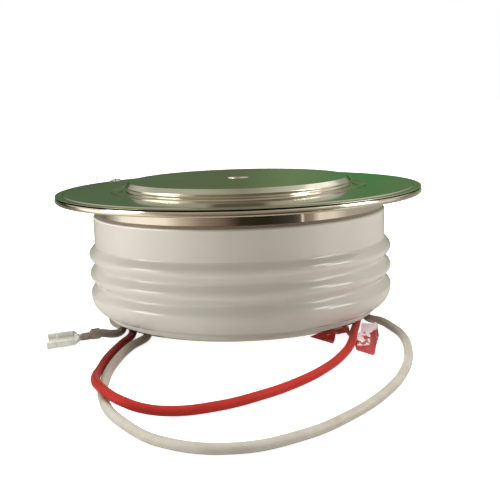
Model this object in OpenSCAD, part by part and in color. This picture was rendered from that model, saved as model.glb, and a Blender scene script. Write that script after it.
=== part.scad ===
// Capsule thyristor with its gate lead and its auxiliary cathode lead.
// Origin at the centre of the lower pole face, +Z up, millimetres. The leads loop towards -Y.

/* [Case] */
// Height over both pole faces
total_h = 28; // [27.8:0.1:28.4]
// Outer diameter of the weld flange
flange_d = 72.5; // [72.5:0.1:74]
// Diameter of the upper pole head
upper_pole_d = 45; // [44.6:0.1:45.4]
// Diameter of the lower pole face
lower_pole_d = 43.6; // [43.4:0.1:43.6]
// Diameter of the centring hole in each pole face
centring_d = 4; // [3.5:0.1:4.2]
// Depth of each centring hole
centring_depth = 2.5; // [2:0.1:2.5]

/* [Ceramic] */
// Diameter of the plain band above the ribs
ceramic_d = 58.2; // [58:0.1:58.6]
// Diameter over the ribs
rib_d = 60.6; // [60:0.1:61]
// Height of the middle of the top rib
rib_top_z = 14.25; // [14.1:0.05:14.4]
// Distance from rib to rib
rib_pitch = 3.87; // [3.8:0.01:3.9]
// Diameter of the ceramic bore
ceramic_bore_d = 49.6; // [49.6:0.1:50]
// Diameter of the ground foot
foot_d = 54.8; // [54.6:0.1:55]

/* [Flanges] */
// Thickness of the upper cap sheet
cap_t = 0.25; // [0.2:0.01:0.25]
// Drop of the cap sheet at its pressed ridge
ridge_drop = 0.15; // [0.1:0.01:0.15]
// Radius of the pressed ridge
ridge_r = 34.6; // [34.2:0.1:34.8]
// Outer diameter of the neck under the weld flange
neck_d = 57.8; // [57.4:0.1:58]
// Thickness of the lower seal ring
seal_t = 0.35; // [0.3:0.01:0.35]

/* [Leads] */
// Outer diameter of each lead
lead_d = 1.5; // [1.4:0.05:1.5]
// Thickness of the folded tag
tag_t = 0.1; // [0.06:0.01:0.1]

/* [Hidden] */

$fn = 96;
slack = 0.01;

// Levels from the floor up
seal_z = 1.6;
foot_z = seal_z + seal_t;
lower_pole_top = 11.2;
shim_t = 0.2;
anode_disc_z = lower_pole_top + shim_t;
anode_disc_t = 2;
wafer_z = anode_disc_z + anode_disc_t;
wafer_t = 0.8;
cathode_disc_z = wafer_z + wafer_t;
cathode_disc_t = 1.2;
cathode_shim_z = cathode_disc_z + cathode_disc_t;
upper_pole_z = cathode_shim_z + shim_t;
cap_top = total_h - 1.7;
rim_top = cap_top - ridge_drop;
weld_top = rim_top - cap_t;
weld_bottom = weld_top - 1.05;
neck_z = 22.3;
shoulder_z = neck_z - 0.4;

// Radii of the case
flange_r = flange_d / 2;
cap_r = flange_r - 0.1;
neck_r = neck_d / 2;
neck_wall = 0.8;
foot_r = foot_d / 2;
bore_r = ceramic_bore_d / 2;
upper_body_r = 21.8;
lower_body_r = 21.2;
seal_r = 27;

// Radii of the stack
anode_disc_r = 22.2;
wafer_r = 22;
wafer_bevel = 0.7;
cathode_disc_r = 20.2;
gate_hole_r = 2.4;

// Gate passage, along the line from the axis through the gate tube
gate_dir = [-0.6, 0.8];
gate_azimuth = atan2(gate_dir[1], gate_dir[0]);
gate_z = 18.9;
pocket_r = 3.9;
pocket_top = 23.8;
slot_w = 2.6;
slot_top = 20.6;
cup_wall = 1;
cup_floor = 0.5;
cup_roof = 0.6;
collar_z = 19.5;
collar_t = 0.5;
collar_r = 2.6;
spring_r = 2.2;
spring_wire_r = 0.3;
spring_turns = 3;
tube_r = 1.15;
tube_bore_r = 0.6;
tube_end = 31;
tube_start = 24.2;
tube_collar_r = 2.4;
tube_collar_t = 0.5;
spot_face = 28.6;
joint_sleeve_start = 29.6;
joint_sleeve_end = 34;

// Cathode tab, on the line from the axis through its barrel
tab_place = [-28.4, 23];
tab_azimuth = atan2(tab_place[1], tab_place[0]);
tab_r = norm(tab_place);
tab_w = 1.8;
tab_t = 0.4;
tab_inner_r = 34.9;
barrel_r = 1.2;
barrel_top = 21.4;
barrel_bottom = 16.6;

// Leads, laid on the floor round the lower pole
lead_r = lead_d / 2;
lead_sides = 8;
lay_z = 0.82;
gate_route = [
    [-18.6, 24.8, gate_z], [-21, 28, gate_z], [-22.3, 29.8, 17.4], [-22.8, 30.4, 14],
    [-21.9, 27.7, 3], [-21.1, 23.6, 1.2], [-21, 17, 0.86], [-22.2, 6, lay_z],
    [-23.1, 0, lay_z], [-22.3, -6, lay_z], [-18.7, -13.2, lay_z], [-17.7, -18.2, lay_z],
    [-20, -25, lay_z], [-21.4, -33, lay_z], [-21.8, -42.5, lay_z], [-20.4, -53, lay_z],
    [-16.4, -61.8, lay_z], [-10, -69, lay_z], [-1.5, -71.3, lay_z], [7, -68, lay_z],
    [14.4, -61.3, lay_z], [20.8, -52.4, lay_z], [25.2, -43, lay_z], [27.8, -33, lay_z],
    [28.6, -23, lay_z], [27.8, -17.8, lay_z], [26.3, -12.8, lay_z], [24.7, -11, lay_z],
    [24.3, -8.2, lay_z], [24.8, -2, lay_z], [25.3, 10, lay_z], [22.5, 26, lay_z],
    [5, 38, lay_z], [-17, 37.5, lay_z], [-31, 26, lay_z], [-30.5, 13.5, lay_z],
    [-26, 6.3, lay_z], [-26.3, 0, lay_z], [-25.6, -6.6, lay_z], [-23.1, -12.2, lay_z],
    [-23.3, -15.6, 0.92], [-24.3, -18.4, 1.5], [-26.2, -19.5, 2], [-28, -19.7, 1.84]
];
cathode_route = [
    [tab_place[0], tab_place[1], 20], [tab_place[0], tab_place[1], 14], [-28.3, 22.6, 8.6],
    [-28, 21, 4], [-27.2, 17.5, 1.4], [-26, 12, 0.86], [-24.2, 6, lay_z],
    [-24.7, 0, lay_z], [-23.8, -6.4, lay_z], [-21.3, -12.3, lay_z], [-20.7, -17.5, lay_z],
    [-21.9, -23.5, lay_z], [-23.1, -31, lay_z], [-23.4, -37.5, 0.85], [-23.3, -42.2, 1.3],
    [-22.6, -46.8, 1.9], [-21.3, -50.6, 2.3], [-19.6, -54, 2.4], [-17.2, -56.9, 2.2],
    [-14.2, -58.3, 1.6], [-10.5, -58.1, 1], [-4.5, -56.5, lay_z], [2.5, -52.3, lay_z],
    [8.3, -47, lay_z], [13, -40.8, lay_z], [16.7, -33.7, lay_z], [19, -27, 0.87],
    [20.4, -20, 0.88], [21.4, -15.5, lay_z], [22.7, -8, lay_z], [23.1, 1, lay_z],
    [22, 9.5, lay_z], [19, 17, lay_z], [15.6, 24, lay_z], [11, 29.4, 0.95],
    [6.5, 31.1, 1.2], [4.7, 31.3, 1.15]
];

// Push-on terminal, measured along its axis from the rear of its grip
grip_len = 1.6;
crimp_start = 1.9;
crimp_end = 3.3;
shell_start = 4;
shell_end = 9.6;
shell_w = 3.4;
shell_h = 1.7;
terminal_t = 0.25;
axis_height = 0.85;

// Folded tag round the cathode lead
tag_outline = [
    [12.3, -20], [16, -24.7], [16.9, -21.1], [17.6, -18.9], [19.2, -17.9], [19.3, -19.8],
    [20, -22], [19.5, -29.2], [22.1, -32.8], [24.8, -21], [25.7, -14], [25.3, -12.4],
    [23, -11.6], [21.8, -18.4], [19.9, -19], [19.9, -14.4], [14.8, -16.5]
];

// Points of an arc in a profile, from angle a to angle b
function arc(centre, r, a, b, steps) =
    [for (i = [0:steps]) centre + r * [cos(a + (b - a) * i / steps), sin(a + (b - a) * i / steps)]];

function unit(v) = v / norm(v);

// Direction of a route at each of its points
function tangents(path) =
    [for (i = [0:len(path) - 1]) unit(path[min(i + 1, len(path) - 1)] - path[max(i - 1, 0)])];

// Normals carried along a route without twist
function normals(t, first) =
    [for (i = 0, n = unit(first - (first * t[0]) * t[0]); i < len(t);
          i = i + 1, n = i < len(t) ? unit(n - (n * t[i]) * t[i]) : n) n];

// Round tube swept along a route, one ring at each point
module swept_tube(path, r, sides, first) {
    t = tangents(path);
    n = normals(t, first);
    rings = [for (i = [0:len(path) - 1], k = [0:sides - 1])
        path[i] + r * (cos(360 * k / sides) * n[i] + sin(360 * k / sides) * cross(t[i], n[i]))];
    walls = [for (i = [0:len(path) - 2], k = [0:sides - 1])
        [i * sides + k, (i + 1) * sides + k,
         (i + 1) * sides + (k + 1) % sides, i * sides + (k + 1) % sides]];
    near_cap = [[for (k = [0:sides - 1]) k]];
    far_cap = [[for (k = [sides - 1:-1:0]) (len(path) - 1) * sides + k]];
    polyhedron(rings, concat(near_cap, far_cap, walls));
}

// Disc with a hole, its lower face at z
module washer(z, t, outer_r, inner_r) {
    translate([0, 0, z])
        difference() {
            cylinder(h = t, r = outer_r);
            translate([0, 0, -slack]) cylinder(h = t + 2 * slack, r = inner_r);
        }
}

// Rod along the gate line, between two distances from the axis
module gate_rod(from, to, r) {
    translate([0, 0, gate_z])
        rotate([0, 0, gate_azimuth])
            rotate([0, 90, 0])
                translate([0, 0, from]) cylinder(h = to - from, r = r);
}

module upper_pole_piece() {
    chamfer = [0.7, 0.9];
    countersink = [0.25, 0.43];
    head_r = upper_pole_d / 2;
    hole_r = centring_d / 2;
    color("darkseagreen")
        difference() {
            rotate_extrude()
                polygon([
                    [0, upper_pole_z], [upper_body_r - 1, upper_pole_z],
                    [upper_body_r, upper_pole_z + 1], [upper_body_r, cap_top], [head_r, cap_top],
                    [head_r, total_h - chamfer[1]], [head_r - chamfer[0], total_h], [0, total_h]
                ]);
            translate([0, 0, total_h - centring_depth])
                cylinder(h = centring_depth + slack, r = hole_r);
            translate([0, 0, total_h - countersink[1]])
                cylinder(h = countersink[1], r1 = hole_r, r2 = hole_r + countersink[0]);
            translate([0, 0, upper_pole_z - slack])
                cylinder(h = pocket_top - upper_pole_z + slack, r = pocket_r);
            rotate([0, 0, gate_azimuth])
                translate([0, -slot_w / 2, upper_pole_z - slack])
                    cube([upper_body_r + 1, slot_w, slot_top - upper_pole_z + slack]);
        }
}

module upper_cap_flange() {
    rim = 0.08;
    step = 0.15;
    trough = [[23, 0], [23.6, -0.4], [24.9, -0.4], [25.6, 0]];
    color("darkseagreen")
        rotate_extrude()
            polygon(concat(
                [[upper_body_r, cap_top - cap_t]],
                [for (p = trough) [p[0], p[1] + cap_top - cap_t]],
                [
                    [ridge_r - step, cap_top - cap_t], [ridge_r, weld_top],
                    [cap_r - rim, weld_top], [cap_r, weld_top + rim], [cap_r, rim_top - rim],
                    [cap_r - rim, rim_top], [ridge_r, rim_top], [ridge_r - step, cap_top]
                ],
                [for (i = [3:-1:0]) [trough[i][0], trough[i][1] + cap_top]],
                [[upper_body_r, cap_top]]
            ));
}

module lower_weld_flange() {
    fillet = 0.8;
    rim_round = 0.35;
    seam_z = weld_bottom + 0.58;
    seam = 0.1;
    sheet = 0.5;
    color("silver")
        rotate_extrude()
            polygon(concat(
                [[bore_r + 0.8, neck_z], [neck_r, neck_z]],
                arc([neck_r + fillet, weld_bottom - fillet], fillet, 180, 90, 6),
                arc([flange_r - rim_round, weld_bottom + rim_round], rim_round, -90, 0, 5),
                [
                    [flange_r, seam_z - seam / 2], [flange_r - seam, seam_z],
                    [flange_r, seam_z + seam / 2], [flange_r, weld_top - 0.24],
                    [flange_r - 0.1, weld_top - 0.17], [flange_r - 0.85, weld_top],
                    [neck_r - neck_wall, weld_top], [neck_r - neck_wall, neck_z + sheet],
                    [bore_r + 0.8, neck_z + sheet]
                ]
            ));
}

// Outer edge of the ceramic, from the foot up: a ground foot, three round ribs, a plain band
function ceramic_edge() =
    let (
        band_r = ceramic_d / 2,
        half = rib_pitch / 2,
        rise = (rib_d - ceramic_d) / 2,
        round_r = (half * half + rise * rise) / (2 * rise),
        sweep = asin(half / round_r),
        low_z = rib_top_z - 2 * rib_pitch,
        under = [rib_d / 2 - foot_r - 0.35, low_z - foot_z - 1.1]
    )
    concat(
        [[foot_r - 0.15, foot_z], [foot_r, foot_z + 0.15], [foot_r, foot_z + 0.95]],
        [for (i = [0:8]) [
            rib_d / 2 - under[0] * (1 - sin(90 * i / 8)),
            low_z - under[1] * cos(90 * i / 8)
        ]],
        [for (a = [1:6]) [
            rib_d / 2 - round_r * (1 - cos(sweep * a / 6)),
            low_z + round_r * sin(sweep * a / 6)
        ]],
        [for (k = [1, 0], a = [-5:6]) [
            rib_d / 2 - round_r * (1 - cos(sweep * a / 6)),
            rib_top_z - k * rib_pitch + round_r * sin(sweep * a / 6)
        ]],
        [[band_r, shoulder_z - 0.3]],
        arc([band_r - 0.25, shoulder_z - 0.25], 0.25, 30, 90, 3)
    );

module ceramic_housing() {
    land_r = neck_r - 0.5;
    color("ivory")
        difference() {
            rotate_extrude()
                polygon(concat(
                    [[bore_r, foot_z]],
                    ceramic_edge(),
                    [[land_r, shoulder_z], [land_r, neck_z], [bore_r, neck_z]]
                ));
            gate_rod(bore_r - 2, ceramic_d / 2 + 1, tube_r);
            gate_rod(spot_face, ceramic_d / 2 + 1, tube_collar_r);
        }
}

module lower_seal_ring() {
    bead_r = 0.6;
    bead_place = (lower_pole_d / 2 + bore_r) / 2;
    color("silver")
        rotate_extrude()
            polygon(concat(
                [[lower_body_r, seal_z]],
                arc([bead_place, seal_z], bead_r, 180, 0, 8),
                [[seal_r - 0.1, seal_z], [seal_r, seal_z + 0.1], [seal_r, foot_z]],
                arc([bead_place, foot_z], bead_r + 0.1, 0, 180, 8),
                [[lower_body_r, foot_z]]
            ));
}

module lower_pole_piece() {
    chamfer = 0.5;
    face_r = lower_pole_d / 2;
    color("silver")
        difference() {
            rotate_extrude()
                polygon([
                    [0, 0], [face_r - chamfer, 0], [face_r, chamfer], [face_r, seal_z],
                    [lower_body_r, seal_z], [lower_body_r, lower_pole_top - chamfer],
                    [lower_body_r - chamfer, lower_pole_top], [0, lower_pole_top]
                ]);
            translate([0, 0, -slack]) cylinder(h = centring_depth + slack, d = centring_d);
        }
}

module anode_silver_shim() {
    color("gainsboro")
        translate([0, 0, lower_pole_top]) cylinder(h = shim_t, r = lower_body_r - 0.6);
}

module anode_molybdenum_disc() {
    color("dimgray")
        translate([0, 0, anode_disc_z]) cylinder(h = anode_disc_t, r = anode_disc_r);
}

module silicon_wafer() {
    color("slategray")
        translate([0, 0, wafer_z]) cylinder(h = wafer_t, r1 = wafer_r, r2 = wafer_r - wafer_bevel);
}

module wafer_edge_seal() {
    top = cathode_disc_z + 0.7;
    color("white")
        rotate_extrude()
            polygon([
                [wafer_r, wafer_z], [wafer_r + 1.1, wafer_z], [wafer_r + 1.2, wafer_z + 0.6],
                [wafer_r + 0.6, top], [cathode_disc_r + 0.5, top],
                [cathode_disc_r + 0.3, cathode_disc_z + 0.4], [cathode_disc_r + 0.3, cathode_disc_z],
                [wafer_r - wafer_bevel, cathode_disc_z]
            ]);
}

module cathode_molybdenum_disc() {
    color("dimgray")
        washer(cathode_disc_z, cathode_disc_t, cathode_disc_r, gate_hole_r);
}

module cathode_silver_shim() {
    color("gainsboro")
        washer(cathode_shim_z, shim_t, cathode_disc_r, gate_hole_r);
}

module centring_ring() {
    outer_r = bore_r - 0.2;
    color("white")
        rotate_extrude()
            polygon([
                [lower_body_r, 8], [outer_r - 0.4, 8], [outer_r, 8.4], [outer_r, 15],
                [wafer_r + 1.3, 15], [wafer_r + 1.3, wafer_z], [anode_disc_r, wafer_z],
                [anode_disc_r, anode_disc_z], [lower_body_r, anode_disc_z]
            ]);
}

module gate_contact() {
    color("gold") {
        translate([0, 0, cathode_disc_z]) cylinder(h = 0.6, r = 1.2);
        translate([0, 0, cathode_disc_z]) cylinder(h = collar_z - cathode_disc_z, r = 0.9);
        translate([0, 0, collar_z]) cylinder(h = collar_t, r = collar_r);
    }
}

module gate_spring() {
    low = collar_z + collar_t + spring_wire_r;
    high = pocket_top - cup_roof - spring_wire_r;
    steps = 16;
    coil = [for (i = [0:spring_turns * steps])
        [spring_r * cos(360 * i / steps), spring_r * sin(360 * i / steps),
         low + (high - low) * i / (spring_turns * steps)]];
    color("lightsteelblue") swept_tube(coil, spring_wire_r, 8, [1, 0, 0]);
}

module gate_insulator_cup() {
    height = pocket_top - upper_pole_z;
    color("antiquewhite")
        translate([0, 0, upper_pole_z])
            difference() {
                cylinder(h = height, r = pocket_r);
                translate([0, 0, cup_floor])
                    cylinder(h = height - cup_floor - cup_roof, r = pocket_r - cup_wall);
                translate([0, 0, -slack]) cylinder(h = cup_floor + 2 * slack, r = 1.4);
                rotate([0, 0, gate_azimuth])
                    translate([0, -slot_w / 2, -slack])
                        cube([pocket_r + 1, slot_w, slot_top - upper_pole_z + slack]);
            }
}

module inner_gate_lead() {
    color("silver") gate_rod(0.9, tube_end - 2, 0.35);
}

module inner_lead_sleeve() {
    color("whitesmoke")
        difference() {
            gate_rod(4.4, tube_start - 0.4, 0.9);
            gate_rod(4, tube_start, 0.35);
        }
}

module gate_tube() {
    color("silver")
        difference() {
            union() {
                gate_rod(tube_start, tube_end, tube_r);
                gate_rod(spot_face, spot_face + tube_collar_t, tube_collar_r);
            }
            gate_rod(tube_start - 1, tube_end - 2, tube_bore_r);
        }
}

module gate_joint_sleeve() {
    color("whitesmoke")
        translate([0, 0, gate_z])
            rotate([0, 0, gate_azimuth])
                rotate([0, 90, 0])
                    rotate_extrude()
                        polygon([
                            [tube_r, joint_sleeve_start], [1.6, joint_sleeve_start],
                            [1.6, tube_end + 0.6], [1.25, joint_sleeve_end],
                            [lead_r, joint_sleeve_end], [lead_r, tube_end], [tube_r, tube_end]
                        ]);
}

// Tab plate seen along its width: over the flange, round the rim and down to the barrel
module tab_plate() {
    out_r = tab_r + tab_t / 2;
    rotate([0, 0, tab_azimuth])
        translate([0, tab_w / 2, 0])
            rotate([90, 0, 0])
                linear_extrude(tab_w)
                    polygon([
                        [tab_inner_r, rim_top], [tab_r - tab_t / 2, rim_top],
                        [tab_r - tab_t / 2, barrel_top - 0.6], [out_r, barrel_top - 0.6],
                        [out_r, rim_top + tab_t - 0.2],
                        [out_r - 0.3, rim_top + tab_t], [tab_inner_r + 0.3, rim_top + tab_t],
                        [tab_inner_r, rim_top + tab_t - 0.2]
                    ]);
}

module cathode_tab() {
    color("silver") {
        tab_plate();
        translate([tab_place[0], tab_place[1], barrel_bottom])
            difference() {
                cylinder(h = barrel_top - barrel_bottom, r = barrel_r);
                translate([0, 0, -slack]) cylinder(h = 20 - barrel_bottom + slack, r = lead_r);
            }
    }
}

module cathode_joint_sleeve() {
    color("firebrick")
        translate([tab_place[0], tab_place[1], barrel_bottom - 2])
            rotate_extrude()
                polygon([
                    [lead_r, 0], [lead_r + 0.3, 0], [barrel_r + 0.35, 2.2], [barrel_r + 0.35, 6],
                    [barrel_r, 6], [barrel_r, 2], [lead_r, 2]
                ]);
}

module gate_lead() {
    color("linen") swept_tube(gate_route, lead_r, lead_sides, [0, 0, 1]);
}

module cathode_lead() {
    color("firebrick") swept_tube(cathode_route, lead_r, lead_sides, [1, 0, 0]);
}

// Rolled edge of the push-on shell, seen from its mouth
module rolled_edge() {
    roll_r = shell_h / 2;
    translate([shell_w / 2 - roll_r, roll_r])
        difference() {
            circle(r = roll_r);
            circle(r = roll_r - terminal_t);
            translate([-roll_r - 1, -roll_r + terminal_t]) square([roll_r + 1, roll_r]);
        }
}

// Push-on terminal with its base at the floor and its mouth towards +X
module push_on_terminal() {
    grip_r = lead_r + 0.2;
    play = 0.03;
    neck = shell_start - 0.8;
    translate([0, 0, axis_height])
        rotate([0, 90, 0])
            difference() {
                cylinder(h = grip_len, r = grip_r);
                translate([0, 0, -slack]) cylinder(h = grip_len + 2 * slack, r = lead_r + play);
            }
    linear_extrude(terminal_t)
        polygon([
            [grip_len - 0.4, -0.45], [neck, -0.6], [shell_start, -shell_w / 2 + 0.5],
            [shell_end, -shell_w / 2 + 0.5], [shell_end, shell_w / 2 - 0.5],
            [shell_start, shell_w / 2 - 0.5], [neck, 0.6], [grip_len - 0.4, 0.45]
        ]);
    for (side = [-1, 1])
        translate([crimp_start, side * 0.38, 0.55])
            rotate([0, 90, 0]) cylinder(h = crimp_end - crimp_start, r = 0.5);
    translate([shell_start, 0, 0])
        rotate([90, 0, 90])
            linear_extrude(shell_end - shell_start) {
                rolled_edge();
                mirror([1, 0]) rolled_edge();
                translate([-shell_w / 2 + 0.8, 0]) square([shell_w - 1.6, terminal_t]);
            }
}

// Terminal crimped on the last stretch of a lead, in line with it and rolled about it
module terminal_on(path, roll) {
    from = path[len(path) - 2];
    run = path[len(path) - 1] - from;
    translate(from)
        rotate([0, atan2(-run[2], norm([run[0], run[1]])), atan2(run[1], run[0])])
            rotate([roll, 0, 0]) translate([0, 0, -axis_height]) push_on_terminal();
}

module gate_terminal() {
    color("gainsboro") terminal_on(gate_route, -15);
}

module cathode_terminal() {
    color("gainsboro") terminal_on(cathode_route, 0);
}

module lead_tag() {
    color("crimson") linear_extrude(tag_t) polygon(tag_outline);
}

upper_pole_piece();
upper_cap_flange();
lower_weld_flange();
ceramic_housing();
lower_seal_ring();
lower_pole_piece();
anode_silver_shim();
anode_molybdenum_disc();
silicon_wafer();
wafer_edge_seal();
cathode_molybdenum_disc();
cathode_silver_shim();
centring_ring();
gate_contact();
gate_spring();
gate_insulator_cup();
inner_gate_lead();
inner_lead_sleeve();
gate_tube();
gate_joint_sleeve();
cathode_tab();
cathode_joint_sleeve();
gate_lead();
cathode_lead();
gate_terminal();
cathode_terminal();
lead_tag();
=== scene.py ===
# A capsule thyristor with its gate lead and its auxiliary cathode lead, dressed for a studio
# picture. Metres, +Z up, with the origin at the centre of the lower pole face, on the floor.
from math import atan2, cos, exp, hypot, pi, radians, sin, tau

import bpy
from mathutils import Matrix, Vector


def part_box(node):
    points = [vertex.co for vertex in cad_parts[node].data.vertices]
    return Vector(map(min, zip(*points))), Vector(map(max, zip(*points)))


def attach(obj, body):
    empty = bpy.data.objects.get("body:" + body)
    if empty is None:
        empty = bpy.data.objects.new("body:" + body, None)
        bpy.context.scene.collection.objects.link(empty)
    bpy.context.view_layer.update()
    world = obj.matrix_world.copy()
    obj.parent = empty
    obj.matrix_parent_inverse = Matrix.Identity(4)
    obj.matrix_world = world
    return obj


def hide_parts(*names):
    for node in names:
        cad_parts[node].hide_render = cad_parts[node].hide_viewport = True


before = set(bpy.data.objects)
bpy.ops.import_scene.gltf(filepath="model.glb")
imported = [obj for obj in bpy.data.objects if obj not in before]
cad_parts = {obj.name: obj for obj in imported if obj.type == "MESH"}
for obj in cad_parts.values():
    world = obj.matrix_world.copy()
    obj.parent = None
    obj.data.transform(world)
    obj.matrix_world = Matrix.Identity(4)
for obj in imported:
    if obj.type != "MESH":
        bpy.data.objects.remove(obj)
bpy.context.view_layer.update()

MM = 0.001


def low(node):
    """A node's lowest corner."""
    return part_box(node)[0]


def high(node):
    """A node's highest corner."""
    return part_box(node)[1]


# Sizes of the case, taken from the frame
total_h = high("upper_pole_piece").z
head_r = high("upper_pole_piece").x
upper_pole_z = low("upper_pole_piece").z
cap_r = high("upper_cap_flange").x
cap_top = high("upper_cap_flange").z
flange_r = high("lower_weld_flange").x
weld_top = high("lower_weld_flange").z
neck_z = low("lower_weld_flange").z
rib_r = high("ceramic_housing").x
foot_z = low("ceramic_housing").z
seal_r = high("lower_seal_ring").x
face_r = high("lower_pole_piece").x
lower_pole_top = high("lower_pole_piece").z

# Sizes of the case that the frame's boxes don't give
chamfer_w = 0.7 * MM
chamfer_h = 0.9 * MM
centring_r = 2 * MM
centring_depth = 2.5 * MM
countersink_w = 0.25 * MM
countersink_h = 0.43 * MM
pocket_r = 3.9 * MM
pocket_top = 23.8 * MM
slot_w = 2.6 * MM
slot_top = 20.6 * MM
cap_t = 0.25 * MM
ridge_r = 34.6 * MM
ridge_drop = 0.15 * MM
trough_middle = 24.25 * MM
trough_half = 1.35 * MM
trough_depth = 0.4 * MM
rim_top = weld_top + cap_t
weld_bottom = weld_top - 1.05 * MM
neck_r = 28.9 * MM
neck_wall = 0.8 * MM
upper_body_r = 21.8 * MM
lower_body_r = 21.2 * MM
band_r = 29.1 * MM
foot_r = 27.4 * MM
bore_r = 24.8 * MM
shoulder_z = neck_z - 0.55 * MM
rib_pitch = 3.87 * MM
rib_top_z = 14.25 * MM
seal_t = 0.35 * MM
seal_z = foot_z - seal_t
bead_r = 0.6 * MM

# The gate tube leaves the ceramic at the back left
gate_z = 18.9 * MM
gate_turn = atan2(0.8, -0.6)
gate_stand = (
    Matrix.Translation((0, 0, gate_z))
    @ Matrix.Rotation(gate_turn, 4, "Z")
    @ Matrix.Rotation(pi / 2, 4, "Y")
)
tube_r = 1.15 * MM
tube_bore_r = 0.6 * MM
tube_start = 24.2 * MM
tube_end = 31 * MM
spot_face = 28.6 * MM
collar_r = 2.4 * MM
collar_t = 0.5 * MM

# The cathode tab folds over the flange at the back left
tab_place = Vector((-28.4, 23, 0)) * MM
tab_turn = atan2(tab_place.y, tab_place.x)
barrel_r = 1.2 * MM
barrel_bottom = 16.6 * MM
barrel_top = 21.4 * MM


def in_scene(data):
    """A new object in the scene for a camera, a curve or a lamp, with its name."""
    made = bpy.data.objects.new(data.name, data)
    bpy.context.scene.collection.objects.link(made)
    return made


# Camera: 171 mm in front of the case's axis and 43 mm above the floor, looking a little down
camera_place = Vector((0, -170.86, 43.26)) * MM
look_down = 0.17463
look_right = 0.01159
tilt = -0.030413
eye = bpy.data.cameras.new("photo_view")
eye.lens = 61.2
eye.sensor_width = 36
eye.clip_start = 10 * MM
camera = in_scene(eye)
camera.matrix_world = (
    Matrix.Translation(camera_place)
    @ Matrix.Rotation(-look_right, 4, "Z")
    @ Matrix.Rotation(pi / 2 - look_down, 4, "X")
    @ Matrix.Rotation(tilt, 4, "Z")
)
bpy.context.scene.camera = camera

# Routes of the leads in metres, the same points as their solids have
lead_r = 0.75 * MM
gate_route = [Vector(point) * MM for point in [
    (-18.6, 24.8, 18.9), (-21, 28, 18.9), (-22.3, 29.8, 17.4), (-22.8, 30.4, 14),
    (-21.9, 27.7, 3), (-21.1, 23.6, 1.2), (-21, 17, 0.86), (-22.2, 6, 0.82),
    (-23.1, 0, 0.82), (-22.3, -6, 0.82), (-18.7, -13.2, 0.82), (-17.7, -18.2, 0.82),
    (-20, -25, 0.82), (-21.4, -33, 0.82), (-21.8, -42.5, 0.82), (-20.4, -53, 0.82),
    (-16.4, -61.8, 0.82), (-10, -69, 0.82), (-1.5, -71.3, 0.82), (7, -68, 0.82),
    (14.4, -61.3, 0.82), (20.8, -52.4, 0.82), (25.2, -43, 0.82), (27.8, -33, 0.82),
    (28.6, -23, 0.82), (27.8, -17.8, 0.82), (26.3, -12.8, 0.82), (24.7, -11, 0.82),
    (24.3, -8.2, 0.82), (24.8, -2, 0.82), (25.3, 10, 0.82), (22.5, 26, 0.82),
    (5, 38, 0.82), (-17, 37.5, 0.82), (-31, 26, 0.82), (-30.5, 13.5, 0.82),
    (-26, 6.3, 0.82), (-26.3, 0, 0.82), (-25.6, -6.6, 0.82), (-23.1, -12.2, 0.82),
    (-23.3, -15.6, 0.92), (-24.3, -18.4, 1.5), (-26.2, -19.5, 2), (-28, -19.7, 1.84),
]]
cathode_route = [Vector(point) * MM for point in [
    (-28.4, 23, 20), (-28.4, 23, 14), (-28.3, 22.6, 8.6),
    (-28, 21, 4), (-27.2, 17.5, 1.4), (-26, 12, 0.86), (-24.2, 6, 0.82),
    (-24.7, 0, 0.82), (-23.8, -6.4, 0.82), (-21.3, -12.3, 0.82), (-20.7, -17.5, 0.82),
    (-21.9, -23.5, 0.82), (-23.1, -31, 0.82), (-23.4, -37.5, 0.85), (-23.3, -42.2, 1.3),
    (-22.6, -46.8, 1.9), (-21.3, -50.6, 2.3), (-19.6, -54, 2.4), (-17.2, -56.9, 2.2),
    (-14.2, -58.3, 1.6), (-10.5, -58.1, 1), (-4.5, -56.5, 0.82), (2.5, -52.3, 0.82),
    (8.3, -47, 0.82), (13, -40.8, 0.82), (16.7, -33.7, 0.82), (19, -27, 0.87),
    (20.4, -20, 0.88), (21.4, -15.5, 0.82), (22.7, -8, 0.82), (23.1, 1, 0.82),
    (22, 9.5, 0.82), (19, 17, 0.82), (15.6, 24, 0.82), (11, 29.4, 0.95),
    (6.5, 31.1, 1.2), (4.7, 31.3, 1.15),
]]


def laid_lead(name, route):
    """A lead on one smooth curve through the points of its route."""
    curve = bpy.data.curves.new(name, "CURVE")
    curve.dimensions = "3D"
    curve.resolution_u = 16
    curve.bevel_depth = lead_r
    curve.bevel_resolution = 6
    curve.use_fill_caps = True
    line = curve.splines.new("BEZIER")
    line.bezier_points.add(len(route) - 1)
    for point, place in zip(line.bezier_points, route):
        point.co = place
        point.handle_left_type = point.handle_right_type = "AUTO"
    return in_scene(curve)


white_lead = laid_lead("white_gate_lead", gate_route)
red_lead = laid_lead("red_cathode_lead", cathode_route)


# Node materials
def add(tree, kind, inputs=None, **settings):
    """Adds a node. Each input is a value, or the socket that feeds it."""
    made = tree.nodes.new("ShaderNode" + kind)
    for name, value in settings.items():
        setattr(made, name, value)
    for name, value in (inputs or {}).items():
        if isinstance(value, bpy.types.NodeSocket):
            tree.links.new(value, made.inputs[name])
        else:
            made.inputs[name].default_value = value
    return made


def reckon(tree, first, second, operation="ADD"):
    """The sum of two values, or what another operation makes of them."""
    return add(tree, "Math", {0: first, 1: second}, operation=operation).outputs[0]


def finish(name, shader_kind="BsdfPrincipled"):
    """A material of that name with one shader: the material, its tree and the shader."""
    material = bpy.data.materials.get(name) or bpy.data.materials.new(name)
    material.use_nodes = True
    tree = material.node_tree
    tree.nodes.clear()
    shader = add(tree, shader_kind)
    add(tree, "OutputMaterial", {"Surface": shader.outputs[0]})
    return material, tree, shader


def places(tree, scale=(1, 1, 1), turn=(0, 0, 0)):
    """Object coordinates in millimetres, turned and then stretched."""
    seen = add(tree, "TexCoord")
    return add(tree, "Mapping", {
        "Vector": seen.outputs["Object"], "Rotation": turn, "Scale": [s / MM for s in scale],
    }).outputs["Vector"]


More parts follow.
